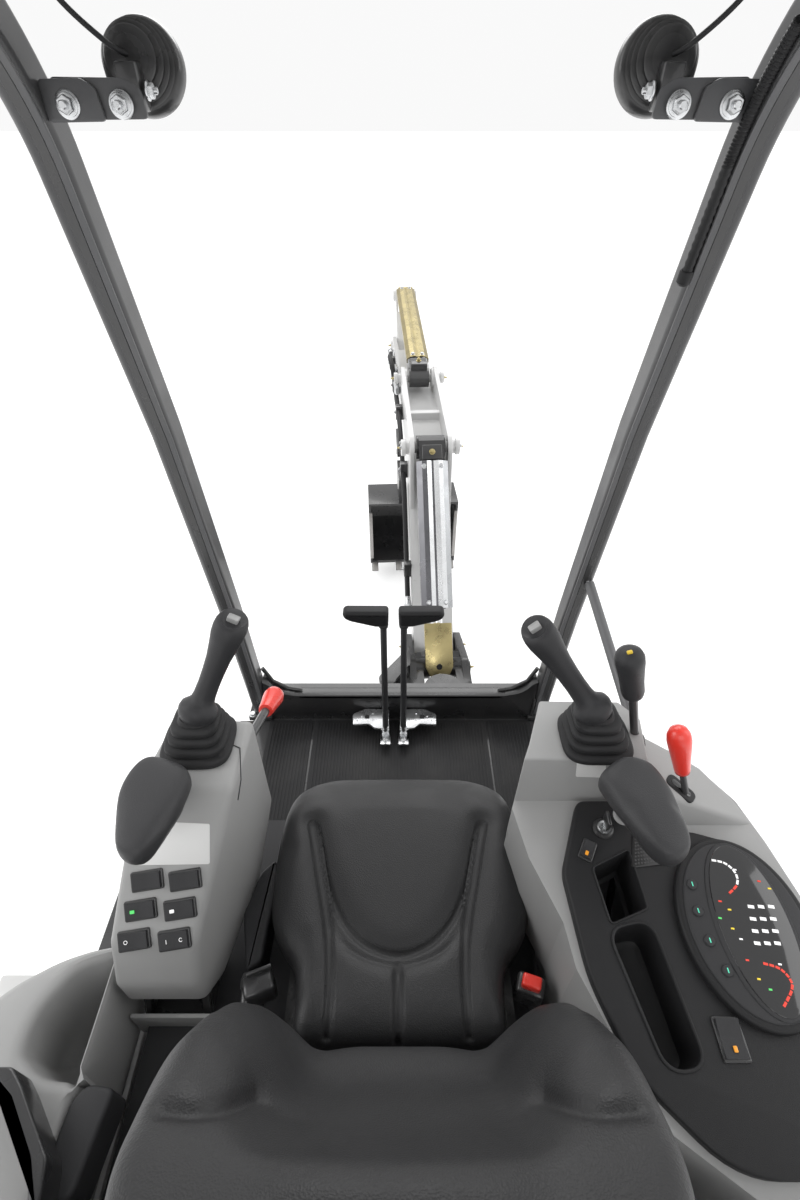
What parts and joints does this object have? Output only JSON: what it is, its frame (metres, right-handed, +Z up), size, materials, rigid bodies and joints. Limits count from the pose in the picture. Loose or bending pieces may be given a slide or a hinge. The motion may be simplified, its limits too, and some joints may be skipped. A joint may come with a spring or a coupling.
{
  "type": "mini excavator",
  "caption": "Tracked mini excavator with an open canopy, operator station, swing boom, arm, bucket and blade, all on working joints.",
  "frame": {"origin": "middle of the whole length and width, on the ground", "axes": "+Z up, +Y ahead over the boom, +X to the operator's right"},
  "size_m": [1.5, 4.5072, 2.4011],
  "materials": {
    "paint": "satin white paint",
    "grey": "dark grey satin paint",
    "black": "black semi-gloss paint",
    "cast": "dark painted casting",
    "rubber": "moulded rubber",
    "console": "light grey moulded plastic, fine grain",
    "dark_plastic": "dark grey grained plastic",
    "vinyl": "dark grey grained vinyl",
    "chrome": "hard chrome",
    "silver": "bright folded plate",
    "zinc": "yellow zinc plating",
    "red": "coral red moulded knob",
    "gloss": "black glossy display",
    "steel": "zinc plated steel",
    "roof": "moulded roof"
  },
  "bodies": {
    "undercarriage": {"undercarriage_frame": "grey", "track_left": "rubber", "track_right": "rubber", "slew_ring": "steel", "final_drives": "black", "idlers": "black", "track_rollers": "black"},
    "blade": {"dozer_blade": "grey"},
    "blade_cylinder": {"blade_cylinder_barrel": "grey"},
    "blade_ram": {"blade_cylinder_rod": "chrome"},
    "house": {"house_frame": "black", "counterweight": "grey", "engine_block": "cast", "seat_box": "dark_plastic", "side_covers": "paint", "storage_tub": "console", "rear_shrouds": "paint", "floor_mat": "rubber", "front_bar": "black", "front_posts": "grey", "rear_posts": "grey", "roof_rails": "grey", "canopy_roof": "roof", "right_console": "console", "control_panel": "dark_plastic", "instrument_cluster": "gloss", "right_joystick": "dark_plastic", "right_wrist_rest": "vinyl", "right_levers": "dark_plastic", "console_bracket": "black", "travel_levers": "dark_plastic", "travel_pedals": "steel", "light_brackets": "steel", "work_lights": "black", "post_strut": "grey"},
    "hood": {"engine_hood": "paint"},
    "left_armrest": {"left_console": "console", "left_switches": "dark_plastic", "left_joystick": "dark_plastic", "left_wrist_rest": "vinyl", "safety_lever": "red"},
    "seat": {"seat_base": "black", "seat_cushion": "vinyl"},
    "backrest": {"seat_backrest": "vinyl"},
    "post": {"swing_post": "black"},
    "swing_cylinder": {"swing_cylinder_barrel": "black"},
    "swing_ram": {"swing_cylinder_rod": "chrome"},
    "boom": {"boom": "paint"},
    "boom_cylinder": {"boom_cylinder_barrel": "black", "boom_cylinder_guard": "silver"},
    "boom_ram": {"boom_cylinder_rod": "chrome"},
    "arm": {"arm": "paint"},
    "arm_cylinder": {"arm_cylinder_barrel": "black"},
    "arm_ram": {"arm_cylinder_rod": "zinc", "arm_cylinder_guard": "zinc"},
    "bucket": {"bucket": "black"},
    "levers": {"bucket_levers": "black"},
    "link": {"bucket_link": "black"},
    "bucket_cylinder": {"bucket_cylinder_barrel": "black"},
    "bucket_ram": {"bucket_cylinder_rod": "chrome"}
  },
  "joints": [
    {"name": "house_slew", "type": "hinge", "parent": "undercarriage", "child": "house", "pos_m": [0, -0.85363, 0.5], "axis": [0, 0, 1], "continuous": true},
    {"name": "blade_lift", "type": "hinge", "parent": "undercarriage", "child": "blade", "pos_m": [0, -1.41363, 0.23], "axis": [-1, 0, 0], "range_deg": [-17, 18]},
    {"name": "blade_cylinder_swing", "type": "hinge", "parent": "undercarriage", "child": "blade_cylinder", "pos_m": [0, -1.32363, 0.305], "axis": [1, 0, 0], "range_deg": [-16, 15.15]},
    {"name": "blade_cylinder_slide", "type": "slide", "parent": "blade_cylinder", "child": "blade_ram", "axis": [0, -0.9872, -0.1597], "range_m": [-0.02045, 0.0194]},
    {"name": "engine_hood_open", "type": "hinge", "parent": "house", "child": "hood", "pos_m": [0, -1.49363, 1.233], "axis": [-1, 0, 0], "range_deg": [0, 70]},
    {"name": "left_console_tilt", "type": "hinge", "parent": "house", "child": "left_armrest", "pos_m": [-0.38, -1.03863, 1.005], "axis": [1, 0, 0], "range_deg": [0, 35]},
    {"name": "seat_slide", "type": "slide", "parent": "house", "child": "seat", "axis": [0, 1, 0], "range_m": [-0.03, 0.09]},
    {"name": "backrest_recline", "type": "hinge", "parent": "seat", "child": "backrest", "pos_m": [0, -1.18863, 1.12], "axis": [1, 0, 0], "range_deg": [-5, 12]},
    {"name": "boom_swing", "type": "hinge", "parent": "house", "child": "post", "pos_m": [0.1493, -0.02363, 0.53], "axis": [0, 0, 1], "range_deg": [-53, 62]},
    {"name": "swing_cylinder_turn", "type": "hinge", "parent": "house", "child": "swing_cylinder", "pos_m": [-0.11, -0.65363, 0.588], "axis": [0, 0, 1], "range_deg": [-3.61, 3.17]},
    {"name": "swing_cylinder_slide", "type": "slide", "parent": "swing_cylinder", "child": "swing_ram", "axis": [0.1011, 0.9949, 0], "range_m": [-0.18324, 0.15686]},
    {"name": "boom_lift", "type": "hinge", "parent": "post", "child": "boom", "pos_m": [0.13041, 0.31635, 0.47], "axis": [0.9985, 0.0555, 0], "range_deg": [-50, 45]},
    {"name": "boom_cylinder_swing", "type": "hinge", "parent": "boom", "child": "boom_cylinder", "pos_m": [0.11174, 0.65233, 1.166], "axis": [0.9985, 0.0555, 0], "range_deg": [-3.3, 3.6]},
    {"name": "boom_cylinder_slide", "type": "slide", "parent": "boom_cylinder", "child": "boom_ram", "axis": [0.0357, -0.6424, -0.7655], "range_m": [-0.13759, 0.15271]},
    {"name": "arm_reach", "type": "hinge", "parent": "boom", "child": "arm", "pos_m": [0.03541, 2.02621, 1.11], "axis": [0.9985, 0.0555, 0], "range_deg": [-10, 92]},
    {"name": "arm_cylinder_swing", "type": "hinge", "parent": "boom", "child": "arm_cylinder", "pos_m": [0.08146, 1.19749, 1.226], "axis": [0.9985, 0.0555, 0], "range_deg": [-1.15, 5.63]},
    {"name": "arm_cylinder_slide", "type": "slide", "parent": "arm_cylinder", "child": "arm_ram", "axis": [-0.0552, 0.9944, 0.0901], "range_m": [-0.40237, 0.04507]},
    {"name": "bucket_curl", "type": "hinge", "parent": "arm", "child": "bucket", "pos_m": [0.06931, 1.41615, 0.58], "axis": [-0.9985, -0.0555, 0], "range_deg": [-5, 125]},
    {"name": "lever_turn", "type": "hinge", "parent": "arm", "child": "levers", "pos_m": [0.06135, 1.55946, 0.7045], "axis": [-0.9985, -0.0555, 0], "range_deg": [-5.5, 125.5]},
    {"name": "link_turn", "type": "hinge", "parent": "levers", "child": "link", "pos_m": [0.05263, 1.71631, 0.73486], "axis": [-0.9985, -0.0555, 0], "range_deg": [-125.5, 5.5]},
    {"name": "bucket_cylinder_swing", "type": "hinge", "parent": "arm", "child": "bucket_cylinder", "pos_m": [0.03189, 2.08963, 1.00625], "axis": [0.9985, 0.0555, 0], "range_deg": [-0.86, 7.01]},
    {"name": "bucket_cylinder_slide", "type": "slide", "parent": "bucket_cylinder", "child": "bucket_ram", "axis": [0.0449, -0.8081, -0.5874], "range_m": [-0.01308, 0.29089]}
  ],
  "couplings": [
    {"joint": "blade_cylinder_swing", "follows": "blade_lift", "ratio": -0.85572},
    {"joint": "blade_cylinder_slide", "follows": "blade_lift", "m_per_rad": -0.060327},
    {"joint": "swing_cylinder_turn", "follows": "boom_swing", "ratio": -0.048492},
    {"joint": "swing_cylinder_slide", "follows": "boom_swing", "m_per_rad": -0.16795},
    {"joint": "boom_cylinder_swing", "follows": "boom_lift", "ratio": -0.06},
    {"joint": "boom_cylinder_slide", "follows": "boom_lift", "m_per_rad": -0.17328},
    {"joint": "arm_cylinder_swing", "follows": "arm_reach", "ratio": 0.054724},
    {"joint": "arm_cylinder_slide", "follows": "arm_reach", "m_per_rad": -0.24965},
    {"joint": "lever_turn", "follows": "bucket_curl", "ratio": 1},
    {"joint": "link_turn", "follows": "bucket_curl", "ratio": -1},
    {"joint": "bucket_cylinder_swing", "follows": "bucket_curl", "ratio": 0.051264},
    {"joint": "bucket_cylinder_slide", "follows": "bucket_curl", "m_per_rad": 0.13265}
  ]
}
